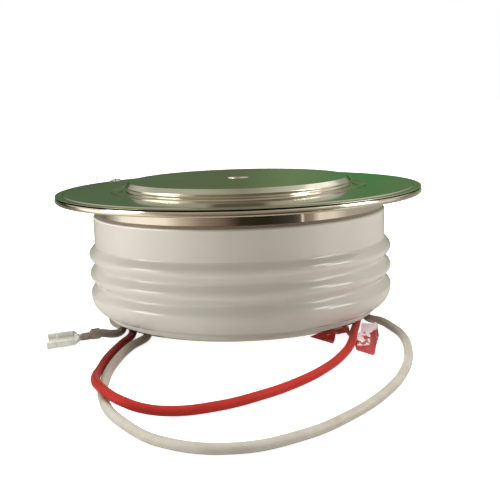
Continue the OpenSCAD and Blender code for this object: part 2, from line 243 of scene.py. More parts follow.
def noise(tree, where, scale, detail=3, rough=0.55):
    """Cloudy pattern, with scale in cycles per millimetre."""
    return add(tree, "TexNoise", {
        "Vector": where, "Scale": scale, "Detail": detail, "Roughness": rough,
    }).outputs["Fac"]


def spread(tree, value, to_low, to_high, from_low=0.3, from_high=0.7):
    """Maps a pattern onto a range."""
    return add(tree, "MapRange", {
        "Value": value, "From Min": from_low, "From Max": from_high,
        "To Min": to_low, "To Max": to_high,
    }).outputs["Result"]


def blend_colours(tree, share, first, second):
    """A mix of two colours, each a value or a socket."""
    return add(tree, "Mix", {0: share, 6: first, 7: second}, data_type="RGBA").outputs[2]


def bumped(tree, shader, height, strength, distance):
    """Raises the surface by a pattern, with the distance in millimetres."""
    raised = add(tree, "Bump", {"Height": height, "Strength": strength, "Distance": distance * MM})
    feed(tree, raised.outputs["Normal"], shader, "Normal")


def feed(tree, socket, shader, name):
    """Feeds a socket into one of the shader's inputs."""
    tree.links.new(socket, shader.inputs[name])


def axes(tree, where):
    """The three coordinates of a place."""
    return add(tree, "SeparateXYZ", {"Vector": where}).outputs[:]


def both(tree, first, second):
    """Where two patterns meet: their product."""
    return reckon(tree, first, second, "MULTIPLY")


def off_by(tree, value, middle):
    """How far a value is from a middle one."""
    return reckon(tree, reckon(tree, value, middle, "SUBTRACT"), 0, "ABSOLUTE")


def length_of(tree, vector, stretch):
    """Length of a vector whose axes are stretched first."""
    stretched = add(tree, "VectorMath", {0: vector, 1: stretch}, operation="MULTIPLY").outputs[0]
    return add(tree, "VectorMath", {0: stretched}, operation="LENGTH").outputs["Value"]


def turning_marks(tree, where, pitch):
    """Rings round Z, with their pitch in millimetres."""
    pitch_at_scale_one = tau / 20
    return add(tree, "TexWave", {
        "Vector": where, "Scale": pitch_at_scale_one / pitch, "Distortion": 0.3, "Detail": 2.0,
        "Detail Scale": 0.5,
    }, wave_type="RINGS", rings_direction="Z").outputs["Fac"]


def nickel(name, bright, dull, gloss, marks, pitch, seam=None):
    """Nickel plate: bright metal with faint turning marks, lines round its sides and cloudy
    patches. A seam, as its level and its inner radius in millimetres, gets painted shade in its
    gap, strongest from the left to the middle."""
    material, tree, shader = finish(name)
    shader.inputs["Metallic"].default_value = 1
    where = places(tree)
    clouds = noise(tree, where, 0.11, 4)
    lines = noise(tree, places(tree, (0.06, 0.06, 5)), 1.3, 4, 0.6)
    tone = reckon(tree, spread(tree, clouds, 0, 0.6), spread(tree, lines, 0, 0.4))
    colour = blend_colours(tree, tone, bright, dull)
    if seam:
        # Painted shade: a dark line in the seam's gap, strongest from the left to the middle.
        level, inner = seam
        x, _, z = axes(tree, where)
        on_level = spread(tree, off_by(tree, z, level), 1, 0, 0.13, 0.2)
        radius = length_of(tree, where, (1, 1, 0))
        seam_band = both(tree, on_level, spread(tree, radius, 0, 1, inner, inner + 0.1))
        seam_shade_share = both(tree, spread(tree, x, 0, 1, -34, -30), spread(tree, x, 1, 0, 6, 22))
        colour = blend_colours(tree, both(tree, seam_band, seam_shade_share), colour, (0.10, 0.075, 0.045, 1))
    feed(tree, colour, shader, "Base Color")
    wiped = noise(tree, places(tree, (0.25, 3, 3), (0, 0, 0.5)), 0.9, 4)
    feed(tree, reckon(tree, spread(tree, clouds, gloss, gloss * 1.6),
                      spread(tree, wiped, 0, gloss * 0.5)), shader, "Roughness")
    height = reckon(tree, turning_marks(tree, where, pitch), noise(tree, where, 1.6, 5, 0.7))
    bumped(tree, shader, reckon(tree, height, spread(tree, lines, 0, 0.3)), marks, 0.01)
    return material


def glazed_ceramic():
    """Warm white alumina under a clear glaze, with its brazed land under the neck brown and a
    painted highlight along its shoulder's edge on the left."""
    material, tree, shader = finish("glazed_white")
    where = places(tree)
    x, _, z = axes(tree, where)
    shoulder = shoulder_z / MM
    tone = spread(tree, noise(tree, where, 0.06, 3), 0, 1)
    colour = blend_colours(tree, tone, (0.58, 0.56, 0.50, 1), (0.55, 0.52, 0.46, 1))
    brazed = spread(tree, z, 0, 1, shoulder + 0.02, shoulder + 0.1)
    colour = blend_colours(tree, brazed, colour, (0.26, 0.215, 0.17, 1))
    # Painted highlight: a pale line along the shoulder's rounded edge, on the left only.
    edge = spread(tree, off_by(tree, z, shoulder - 0.14), 1, 0, 0.05, 0.12)
    wear_and_highlight = both(tree, edge, spread(tree, x, 1, 0, -14, -6))
    feed(tree, blend_colours(tree, wear_and_highlight, colour, (1, 0.96, 0.9, 1)), shader, "Base Color")
    feed(tree, spread(tree, noise(tree, where, 0.7, 4), 0.06, 0.12), shader, "Roughness")
    shader.inputs["Subsurface Weight"].default_value = 0.1
    shader.inputs["Subsurface Radius"].default_value = (0.002, 0.0016, 0.0012)
    shader.inputs["Subsurface Scale"].default_value = 1
    bumped(tree, shader, noise(tree, places(tree, (1, 1, 0.5)), 0.25, 2), 0.25, 0.12)
    return material


def insulation(name, clean, wear_and_highlight, shade_colour, gloss, specular):
    """Smooth extruded insulation with a faint orange peel. It has patches of wear, and painted
    shade darkens it on the left, towards the case."""
    material, tree, shader = finish(name)
    where = places(tree)
    x, y, _ = axes(tree, where)
    wear = spread(tree, noise(tree, where, 0.35, 5, 0.65), 0, 1, 0.4, 0.75)
    # Painted shade: the insulation darkens on the left towards the case, in patches.
    near_case = spread(tree, y, 0, 1, -60, -38)
    on_left = spread(tree, x, 1, 0, -16, -2)
    patchy = spread(tree, noise(tree, where, 0.15, 3), 0.75, 1)
    painted_shade = both(tree, both(tree, near_case, on_left), patchy)
    colour = blend_colours(tree, wear, clean, wear_and_highlight)
    feed(tree, blend_colours(tree, painted_shade, colour, shade_colour), shader, "Base Color")
    feed(tree, spread(tree, noise(tree, where, 2, 3), gloss, gloss + 0.12), shader, "Roughness")
    shader.inputs["Specular IOR Level"].default_value = specular
    bumped(tree, shader, noise(tree, where, 1.2, 2), 0.1, 0.015)
    return material


def plain_finish(name, first, second, gloss, metal=0, grain=1.0):
    """A finish for the small and the hidden pieces: two tones, uneven gloss and a fine grain."""
    material, tree, shader = finish(name)
    where = places(tree)
    shader.inputs["Metallic"].default_value = metal
    tone = spread(tree, noise(tree, where, grain * 0.5), 0, 1)
    feed(tree, blend_colours(tree, tone, first, second), shader, "Base Color")
    feed(tree, spread(tree, noise(tree, where, grain), gloss, gloss + 0.15), shader, "Roughness")
    bumped(tree, shader, noise(tree, where, grain * 4), 0.15, 0.02)
    return material


def tinned_sheet():
    """Tinned brass sheet, pale at the mouth of the terminal and darker and browner round its
    crimps.
    """
    material, tree, shader = finish("tinned_brass")
    shader.inputs["Metallic"].default_value = 0.5
    where = places(tree)
    along = add(tree, "Attribute", attribute_name="along").outputs["Fac"]
    darker_at_crimps = spread(tree, along, 1, 0, 3.4, 4.4)
    tone = spread(tree, noise(tree, where, 0.8, 4), 0, 1)
    bright = blend_colours(tree, tone, (0.90, 0.90, 0.86, 1), (0.82, 0.81, 0.76, 1))
    brown = blend_colours(tree, tone, (0.36, 0.30, 0.26, 1), (0.25, 0.20, 0.17, 1))
    feed(tree, blend_colours(tree, darker_at_crimps, bright, brown), shader, "Base Color")
    feed(tree, reckon(tree, spread(tree, noise(tree, where, 2, 3), 0.32, 0.42),
                      spread(tree, darker_at_crimps, 0, 0.1, 0, 1)), shader, "Roughness")
    bumped(tree, shader, noise(tree, where, 3, 2), 0.05, 0.015)
    return material


def printed_film():
    """Glossy red film with a plain white patch that leans with the tag and is rubbed through. It
    glows a little, painted light that is strongest on the white patch."""
    material, tree, shader = finish("red_film")
    where = places(tree)
    x, y, _ = axes(tree, where)
    tone = spread(tree, noise(tree, where, 0.4), 0, 1)
    red = blend_colours(tree, tone, (0.62, 0.045, 0.05, 1), (0.50, 0.03, 0.035, 1))
    leaning = reckon(tree, x, reckon(tree, reckon(tree, y, 20), -0.19, "MULTIPLY"))
    past_end = reckon(tree, leaning, spread(tree, y, 23.3, 24.4, -18.6, -17.8), "SUBTRACT")
    inside = both(tree, spread(tree, x, 0, 1, 20, 20.3), spread(tree, past_end, 1, 0, 0, 0.3))
    inside = both(tree, inside, spread(tree, y, 0, 1, -27, -26))
    rubbed = spread(tree, noise(tree, places(tree, (1, 0.35, 1)), 1.1, 4), 0, 1, 0.42, 0.5)
    whole = spread(tree, y, 0, 1, -18, -17)
    patch = both(tree, inside, reckon(tree, rubbed, whole, "MAXIMUM"))
    paint = blend_colours(tree, patch, red, (0.98, 0.86, 0.86, 1))
    feed(tree, paint, shader, "Base Color")
    # Painted light: the film glows through its emission, the most on the white patch.
    feed(tree, paint, shader, "Emission Color")
    feed(tree, spread(tree, patch, 0.12, 0.36, 0, 1), shader, "Emission Strength")
    feed(tree, spread(tree, noise(tree, where, 1.5), 0.1, 0.25), shader, "Roughness")
    shader.inputs["Specular IOR Level"].default_value = 0.25
    bumped(tree, shader, noise(tree, where, 0.7), 0.15, 0.08)
    return material


# Finishes of the visible pieces, and then of the inner solids, which carry them by slot already
pole_nickel = nickel("nickel_pole", (0.66, 0.62, 0.53, 1), (0.56, 0.53, 0.45, 1), 0.05, 0.02, 0.5)
sheet_nickel = nickel("nickel_sheet", (0.68, 0.63, 0.54, 1), (0.58, 0.53, 0.45, 1), 0.05, 0.02, 0.7,
                      seam=(weld_top / MM + 0.05, 35.5))
glaze = glazed_ceramic()
# The third colour of each insulation is its painted shade towards the case.
white_insulation = insulation("white_insulation", (0.45, 0.42, 0.36, 1), (0.38, 0.34, 0.28, 1),
                              (0.24, 0.195, 0.15, 1), 0.35, 0.2)
red_insulation = insulation("red_insulation", (0.41, 0.034, 0.026, 1), (0.34, 0.027, 0.020, 1),
                            (0.14, 0.002, 0.002, 1), 0.26, 0.04)
tab_nickel = plain_finish("tab_nickel", (0.38, 0.37, 0.32, 1), (0.30, 0.29, 0.25, 1), 0.35, 1)
ptfe = plain_finish("ptfe", (0.74, 0.72, 0.66, 1), (0.62, 0.59, 0.52, 1), 0.35)
red_sleeve = plain_finish("red_sleeve", (0.42, 0.02, 0.018, 1), (0.32, 0.014, 0.013, 1), 0.35)
tinned_brass = tinned_sheet()
red_film = printed_film()
tinned_strand = plain_finish("tinned_strand", (0.58, 0.53, 0.47, 1), (0.46, 0.38, 0.30, 1), 0.3,
                             1, 3.0)
plain_finish("molybdenum", (0.42, 0.42, 0.43, 1), (0.34, 0.34, 0.36, 1), 0.35, 1)
plain_finish("silver_foil", (0.90, 0.88, 0.83, 1), (0.80, 0.78, 0.72, 1), 0.25, 1)
plain_finish("silicon", (0.16, 0.17, 0.19, 1), (0.12, 0.13, 0.15, 1), 0.12, 1)
plain_finish("silicone_rubber", (0.78, 0.76, 0.72, 1), (0.70, 0.68, 0.62, 1), 0.45)
plain_finish("gold_contact", (0.95, 0.68, 0.30, 1), (0.84, 0.58, 0.26, 1), 0.2, 1)
plain_finish("spring_steel", (0.50, 0.49, 0.47, 1), (0.42, 0.41, 0.39, 1), 0.25, 1)
white_lead.data.materials.append(white_insulation)
red_lead.data.materials.append(red_insulation)


# Modelling helpers, each starting from a primitive with nothing else selected
def deselect():
    """Deselects everything, the object's own solids too."""
    bpy.ops.object.select_all(action="DESELECT")


def named(name):
    """Names the primitive that was just added, and its mesh."""
    piece = bpy.context.object
    piece.name = name
    piece.data.name = name
    return piece


def only(piece):
    """Selects a piece alone and makes it active."""
    deselect()
    piece.select_set(True)
    bpy.context.view_layer.objects.active = piece


def settled(piece, stand):
    """Stands a piece in its place and writes that place into its mesh."""
    piece.matrix_world = stand
    only(piece)
    bpy.ops.object.transform_apply()


def edit(piece):
    """Opens a piece alone for editing, with all of it selected."""
    only(piece)
    bpy.ops.object.mode_set(mode="EDIT")
    bpy.ops.mesh.select_all(action="SELECT")


def closed_up():
    """Merges doubled points, turns the faces outwards and leaves edit mode."""
    bpy.ops.mesh.select_all(action="SELECT")
    bpy.ops.mesh.remove_doubles(threshold=0.002 * MM)
    bpy.ops.mesh.normals_make_consistent(inside=False)
    bpy.ops.object.mode_set(mode="OBJECT")


def apply_modifier(piece, kind, **settings):
    """Adds a modifier and applies it."""
    only(piece)
    modifier = piece.modifiers.new(kind.lower(), kind)
    for name, value in settings.items():
        setattr(modifier, name, value)
    bpy.ops.object.modifier_apply(modifier=modifier.name)


def rounded_edges(piece, width, angle=30):
    """Rounds the edges that turn by more than an angle."""
    apply_modifier(piece, "BEVEL", width=width, segments=2, limit_method="ANGLE",
                   angle_limit=radians(angle), use_clamp_overlap=True)


def smoothed(piece, angle=38):
    """Smooth shading in which the wide faces stay flat and their rounded edges take the turn."""
    only(piece)
    bpy.ops.object.shade_smooth_by_angle(angle=radians(angle))
    if piece.data.has_custom_normals:
        bpy.ops.mesh.customdata_custom_splitnormals_clear()
    apply_modifier(piece, "WEIGHTED_NORMAL", keep_sharp=True, weight=80)


def chain(name, points):
    """A chain of edges through points, grown from one vertex, left open in edit mode."""
    deselect()
    bpy.ops.mesh.primitive_plane_add(size=MM, location=points[0])
    piece = named(name)
    bpy.ops.object.transform_apply()
    bpy.ops.object.mode_set(mode="EDIT")
    bpy.ops.mesh.select_all(action="SELECT")
    bpy.ops.mesh.merge(type="CENTER")
    for start, end in zip(points, points[1:]):
        step = Vector(end) - Vector(start)
        bpy.ops.mesh.extrude_vertices_move(TRANSFORM_OT_translate={"value": step})
    return piece


def turned(name, outline, material, steps=192, edge=0.0, stand=None):
    """Spins an outline of (radius, height) points round Z, rounds its edges and stands it in
    its place."""
    piece = chain(name, [(r, 0, z) for r, z in outline])
    bpy.ops.mesh.select_all(action="SELECT")
    bpy.ops.mesh.spin(steps=steps, angle=tau, center=(0, 0, 0), axis=(0, 0, 1))
    closed_up()
    if edge:
        rounded_edges(piece, edge)
    if stand is not None:
        settled(piece, stand)
    smoothed(piece)
    piece.data.materials.append(material)
    return piece


def cut_with(piece, tool):
    """Takes the tool's shape out of the piece and removes the tool."""
    apply_modifier(piece, "BOOLEAN", operation="DIFFERENCE", object=tool, solver="EXACT")
    bpy.data.objects.remove(tool)


def arc(centre, r, start, end, steps):
    """Points of an arc in an outline, from one angle to the other in degrees."""
    return [
        (centre[0] + r * cos(radians(start + (end - start) * i / steps)),
         centre[1] + r * sin(radians(start + (end - start) * i / steps)))
        for i in range(steps + 1)
    ]


def stands_for(piece, slot, *nodes):
    """The piece rides on the case and is shown instead of its solids."""
    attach(piece, "root")
    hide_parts(*nodes)
    return piece


# Poles and flanges
def upper_pole():
    """Turned pole with a chamfered head, a centring hole, the gate's pocket and its slot."""
    body_chamfer = 1 * MM
    pole = turned("upper_pole_with_polished_head", [
        (0, pocket_top), (pocket_r, pocket_top), (pocket_r, upper_pole_z),
        (upper_body_r - body_chamfer, upper_pole_z), (upper_body_r, upper_pole_z + body_chamfer),
        (upper_body_r, cap_top), (head_r, cap_top), (head_r, total_h - chamfer_h),
        (head_r - chamfer_w, total_h), (centring_r + countersink_w, total_h),
        (centring_r, total_h - countersink_h), (centring_r, total_h - centring_depth),
        (0, total_h - centring_depth),
    ], pole_nickel, edge=0.06 * MM)
    deselect()
    bpy.ops.mesh.primitive_cube_add(size=1)
    slot = bpy.context.object
    slot.matrix_world = (
        Matrix.Translation((0, 0, upper_pole_z)) @ Matrix.Rotation(gate_turn, 4, "Z")
        @ Matrix.Translation((upper_body_r / 2, 0, 0))
        @ Matrix.Diagonal((upper_body_r + 2 * MM, slot_w, 2 * (slot_top - upper_pole_z), 1))
    )
    cut_with(pole, slot)
    smoothed(pole)
    stands_for(pole, "nickel_pole", "upper_pole_piece")


def cap_flange():
    """Thin upper sheet: a pressed trough round the pole, a step down at its ridge and a rim that
    is drawn in towards the seam."""
    drop_w = 0.13 * MM
    edge_r = 0.05 * MM
    steps = 8
    pressed = [
        (trough_middle + trough_half * i / steps,
         -trough_depth * (0.5 + 0.5 * cos(pi * i / steps)) ** 0.7)
        for i in range(-steps, steps + 1)
    ]
    pressed += [
        (ridge_r - drop_w + 2 * drop_w * i / steps,
         -ridge_drop * (1 - cos(pi * i / steps)) / 2)
        for i in range(steps + 1)
    ]
    over = [(r, cap_top + z) for r, z in pressed]
    under = [(r, cap_top - cap_t + z) for r, z in pressed]
    rim = [(cap_r - 0.2 * MM, weld_top), (cap_r - 0.12 * MM, weld_top + 0.03 * MM)]
    rim += arc((cap_r - edge_r, rim_top - edge_r), edge_r, -10, 90, 4)
    cap = turned("upper_cap_sheet", [
        (upper_body_r, cap_top - cap_t), *under, *rim, *reversed(over),
        (upper_body_r, cap_top), (upper_body_r, cap_top - cap_t),
    ], sheet_nickel, steps=256)
    stands_for(cap, "nickel_sheet", "upper_cap_flange")


def weld_flange():
    """Lower sheet of the welded pair: a neck, a fillet and a rounded lip with a fine seam."""
    fillet = 0.8 * MM
    rim_round = 0.35 * MM
    seam_z = weld_bottom + 0.42 * MM
    seam = 0.06 * MM
    crown_r = 1.46 * MM
    crown_centre = (flange_r - crown_r, weld_top - 0.717 * MM)
    inner_r = bore_r + 0.8 * MM
    sheet = 0.5 * MM
    flange = turned("lower_weld_sheet", [
        (inner_r, neck_z), (neck_r - 0.12 * MM, neck_z), (neck_r, neck_z + 0.12 * MM),
        *arc((neck_r + fillet, weld_bottom - fillet), fillet, 180, 90, 10),
        *arc((flange_r - rim_round, weld_bottom + rim_round), rim_round, -90, 0, 8),
        (flange_r, seam_z - seam / 2), (flange_r - seam, seam_z), (flange_r, seam_z + seam / 2),
        *arc(crown_centre, crown_r, 4, 25, 7),
        (flange_r - 0.85 * MM, weld_top), (neck_r - neck_wall, weld_top),
        (neck_r - neck_wall, neck_z + sheet), (inner_r, neck_z + sheet), (inner_r, neck_z),
    ], sheet_nickel, steps=256)
    stands_for(flange, "nickel_sheet", "lower_weld_flange")


def seal_ring():
    """Lower seal ring with its pressed bead, a thin bright edge under the ceramic."""
    bead_place = (face_r + bore_r) / 2
    ring = turned("lower_seal_sheet", [
        (lower_body_r, seal_z), *arc((bead_place, seal_z), bead_r, 180, 0, 10),
        (seal_r - 0.1 * MM, seal_z), (seal_r, seal_z + 0.1 * MM), (seal_r, foot_z),
        *arc((bead_place, foot_z), bead_r + 0.1 * MM, 0, 180, 10),
        (lower_body_r, foot_z), (lower_body_r, seal_z),
    ], sheet_nickel, steps=256)
    stands_for(ring, "nickel_sheet", "lower_seal_ring")


def lower_pole():
    """Turned pole that the object stands on, with a centring hole in its face."""
    chamfer = 0.5 * MM
    pole = turned("lower_pole_with_polished_face", [
        (0, centring_depth), (centring_r, centring_depth), (centring_r, 0),
        (face_r - chamfer, 0), (face_r, chamfer), (face_r, seal_z), (lower_body_r, seal_z),
        (lower_body_r, lower_pole_top - chamfer), (lower_body_r - chamfer, lower_pole_top),
        (0, lower_pole_top),
    ], pole_nickel, edge=0.05 * MM)
    stands_for(pole, "nickel_pole", "lower_pole_piece")


# Ceramic housing
def ceramic_side():
    """Outer side of the ceramic from the foot up: ground foot, three soft ribs, plain band."""
    rise = rib_r - band_r
    low_z = rib_top_z - 2 * rib_pitch
    foot_step = 0.35 * MM
    foot_h = 1.1 * MM
    under_w = rib_r - foot_r - foot_step
    under_h = low_z - foot_z - foot_h
    side = [(foot_r - 0.15 * MM, foot_z), (foot_r, foot_z + 0.15 * MM),
            (foot_r, foot_z + 0.75 * MM), (foot_r + 0.06 * MM, foot_z + 0.9 * MM)]
    steps = 20
    for i in range(steps):
        turn = pi / 2 * i / steps
        side.append((rib_r - under_w * (1 - sin(turn)), low_z - under_h * cos(turn)))
    for i in range(5 * steps + 1):
        wave = (0.5 + 0.5 * cos(pi * i / steps)) ** 0.8
        side.append((band_r + rise * wave, low_z + rib_pitch / 2 * i / steps))
    edge_r = 0.3 * MM
    side.append((band_r, shoulder_z - edge_r))
    side += arc((band_r - edge_r, shoulder_z - edge_r), edge_r, 10, 60, 6)
    return side


def gate_rod(start, end, r):
    """A plain rod along the gate line, for cutting holes."""
    outline = [(0, start), (r, start), (r, end), (0, end)]
    return turned("rod", outline, glaze, steps=48, stand=gate_stand)


def ceramic():
    """Ribbed ring with a brazed land on top, a hole for the gate tube and a spot face round it."""
    land_r = neck_r - 0.35 * MM
    housing = turned("ribbed_ceramic_housing", [
        (bore_r, foot_z), *ceramic_side(), (land_r, neck_z - 0.12 * MM), (land_r, neck_z),
        (bore_r, neck_z), (bore_r, foot_z),
    ], glaze, steps=256)
    cut_with(housing, gate_rod(bore_r - 2 * MM, band_r + 1 * MM, tube_r))
    cut_with(housing, gate_rod(spot_face, band_r + 1 * MM, collar_r))
    smoothed(housing, 30)
    stands_for(housing, "glazed_white", "ceramic_housing")


# Gate tube, its sleeve and the cathode lead's sleeve
def gate_passage():
    """Tube that takes the gate lead through the ceramic, with a collar brazed on its spot face."""
    collar_end = spot_face + collar_t
    braze = 0.25 * MM
    tube = turned("gate_tube_with_collar", [
        (tube_bore_r, tube_start), (tube_r, tube_start), (tube_r, spot_face),
        (collar_r, spot_face), (collar_r, collar_end), (tube_r + braze, collar_end),
        (tube_r, collar_end + braze), (tube_r, tube_end), (tube_bore_r, tube_end),
        (tube_bore_r, tube_start),
    ], sheet_nickel, steps=64, edge=0.05 * MM, stand=gate_stand)
    stands_for(tube, "nickel_sheet", "gate_tube")


def shrunk_sleeve(name, node, slot, outer, bore, material, stand):
    """A shrunk sleeve: its outline hugs what it covers, with faint ripples where it tightened."""
    ripple_h = 0.02 * MM
    steps = 8
    rippled = []
    for (r0, z0), (r1, z1) in zip(outer, outer[1:]):
        for i in range(steps):
            share = i / steps
            ripple = ripple_h * sin(share * 2 * tau) * sin(pi * share)
            rippled.append((r0 + (r1 - r0) * share + ripple, z0 + (z1 - z0) * share))
    rippled.append(outer[-1])
    outline = [*rippled, *bore, rippled[0]]
    sleeve = turned(name, outline, material, steps=48, stand=stand)
    stands_for(sleeve, slot, node)


def joint_sleeves():
    """The white sleeve over the gate tube's end and the red one over the tab's barrel."""
    start, end = 29.6 * MM, 34 * MM
    shrunk_sleeve(
        "white_gate_joint_sleeve", "gate_joint_sleeve", "ptfe",
        [(1.56 * MM, start), (1.6 * MM, start + 0.3 * MM), (1.58 * MM, tube_end + 0.6 * MM),
         (1.28 * MM, end - 0.3 * MM), (1.2 * MM, end)],
        [(lead_r, end), (lead_r, tube_end), (tube_r, tube_end), (tube_r, start)], ptfe, gate_stand,
    )
    bottom = barrel_bottom - 2 * MM
    sleeve_r = barrel_r + 0.35 * MM
    shrunk_sleeve(
        "red_cathode_joint_sleeve", "cathode_joint_sleeve", "red_sleeve",
        [(lead_r + 0.25 * MM, bottom), (lead_r + 0.3 * MM, bottom + 0.3 * MM),
         (sleeve_r - 0.05 * MM, bottom + 2.2 * MM), (sleeve_r, bottom + 5.6 * MM),
         (sleeve_r - 0.05 * MM, bottom + 6 * MM)],
        [(barrel_r, bottom + 6 * MM), (barrel_r, bottom + 2 * MM), (lead_r, bottom + 2 * MM),
         (lead_r, bottom)], red_sleeve, Matrix.Translation(tab_place),
    )


# Folded sheet: the cathode tab and the push-on terminals
def section_point(share, half_width, bends):
    """A point of a half section, a share of its width from the middle: sideways and up."""
    side = up = heading = 0.0
    left = share
    for part, degrees in bends:
        run = min(left, part)
        if run <= 0:
            break
        length = run * half_width
        turn = radians(degrees) * run / part
        if abs(turn) < 1e-6:
            side += length * cos(heading)
            up += length * sin(heading)
        else:
            bend_r = length / turn
            side += bend_r * (sin(heading + turn) - sin(heading))
            up += bend_r * (cos(heading) - cos(heading + turn))
        heading += turn
        left -= run
    return side, up


def between(first, second, share):
    """Blends two stations of a folded sheet: numbers, vectors and lists of them alike."""
    if isinstance(first, (list, tuple)):
        return [between(a, b, share) for a, b in zip(first, second)]
    return first + (second - first) * share


def folded_sheet(name, stations, gaps, sheet, material, across=16, edge=0.0):
    """Folds a flat grid. A station has its middle, its directions up and sideways, its half width
    and the bends of its section. The grid's rows run from station to station, and gaps gives
    their number."""
    rows = [stations[0]]
    for first, second, count in zip(stations, stations[1:], gaps):
        rows += [between(first, second, (i + 1) / count) for i in range(count)]
    deselect()
    bpy.ops.mesh.primitive_grid_add(x_subdivisions=len(rows) - 1, y_subdivisions=2 * across, size=2)
    piece = named(name)
    for vertex in piece.data.vertices:
        row = rows[round((vertex.co.x + 1) / 2 * (len(rows) - 1))]
        middle, upward, sideways, half_width, bends = row
        side, up = section_point(abs(vertex.co.y), half_width, bends)
        hand = 1 if vertex.co.y > 0 else -1
        vertex.co = middle + sideways * side * hand + upward * up
    edit(piece)
    bpy.ops.mesh.normals_make_consistent(inside=False)
    bpy.ops.object.mode_set(mode="OBJECT")
    apply_modifier(piece, "SOLIDIFY", thickness=sheet, offset=0, use_even_offset=True)
    edit(piece)
    closed_up()
    if edge:
        rounded_edges(piece, edge, 50)
    piece.data.materials.append(material)
    return piece


def evenly(degrees):
    """Four equal bends."""
    return [[0.25, degrees / 4]] * 4


def cathode_tab():
    """Strip welded flat on the flange, folded over the rim and rolled into a barrel on the lead."""
    sheet = 0.36 * MM
    outward = Vector((cos(tab_turn), sin(tab_turn), 0))
    sideways = Vector((-sin(tab_turn), cos(tab_turn), 0))
    rise = Vector((0, 0, 1))
    fold_r = tab_place.length
    over_z = rim_top + sheet / 2 + 0.01 * MM
    half = 0.9 * MM
    roll_r = lead_r + sheet / 2
    bend = 0.42 * MM

    def station(r, z, facing, half_width, bends):
        """A station by its distance from the case's axis and its height."""
        return [outward * r + rise * z, facing, sideways, half_width, bends]

    flat = evenly(0)
    curled = evenly(172)
    barrel_half = radians(172) * roll_r
    corner = []
    for i in range(7):
        turn = pi / 2 * i / 6
        corner.append(station(fold_r - bend + bend * sin(turn), over_z - bend + bend * cos(turn),
                              rise * cos(turn) + outward * sin(turn), half, flat))
    back_r = fold_r - roll_r
    stations = [
        station(34.9 * MM, over_z, rise, half - 0.2 * MM, flat),
        station(35.05 * MM, over_z, rise, half, flat),
        *corner,
        station(fold_r, 24.3 * MM, outward, half, flat),
        station(back_r + 0.5 * MM, 23.2 * MM, outward, half, flat),
        station(back_r, 22.2 * MM, outward, half, evenly(20)),
        station(back_r, barrel_top, outward, barrel_half * 0.8, evenly(140)),
        station(back_r, barrel_top - 0.3 * MM, outward, barrel_half, curled),
        station(back_r, barrel_bottom, outward, barrel_half, curled),
    ]
    gaps = [1, 3, *[1] * 6, 4, 4, 3, 4, 3, 8]
    tab = folded_sheet("folded_cathode_tab", stations, gaps, sheet, tab_nickel, 12, 0.05 * MM)
    smoothed(tab, 40)
    stands_for(tab, "nickel_sheet", "cathode_tab")


def bared_strands(name, stand):
    """Seven bared strands from the end of the insulation through the crimp."""
    strand_r = 0.14 * MM
    start, end = 1.35 * MM, 3.8 * MM
    level = 0.52 * MM
    outline = [(0, 0), (strand_r, 0), (strand_r, end - start), (0, end - start)]
    offsets = [(0, 0)] + [(2 * strand_r * cos(k * pi / 3), 1.7 * strand_r * sin(k * pi / 3))
                          for k in range(6)]
    along_lead = Matrix.Rotation(pi / 2, 4, "Y")
    strands = [
        turned(name, outline, tinned_strand, steps=10,
               stand=stand @ Matrix.Translation((start, side, level + up)) @ along_lead)
        for side, up in offsets
    ]
    only(strands[0])
    for strand in strands:
        strand.select_set(True)
    bpy.ops.object.join()
    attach(strands[0], "root")
    return strands[0]


def terminal_stand(route, roll, axis_height):
    """Places a terminal on the last stretch of its lead, rolled about it by so many degrees."""
    before_end, end = route[-2], route[-1]
    run = end - before_end
    return (
        Matrix.Translation(before_end)
        @ Matrix.Rotation(atan2(run.y, run.x), 4, "Z")
        @ Matrix.Rotation(atan2(-run.z, hypot(run.x, run.y)), 4, "Y")
        @ Matrix.Rotation(radians(roll), 4, "X")
        @ Matrix.Translation((0, 0, -axis_height))
    )


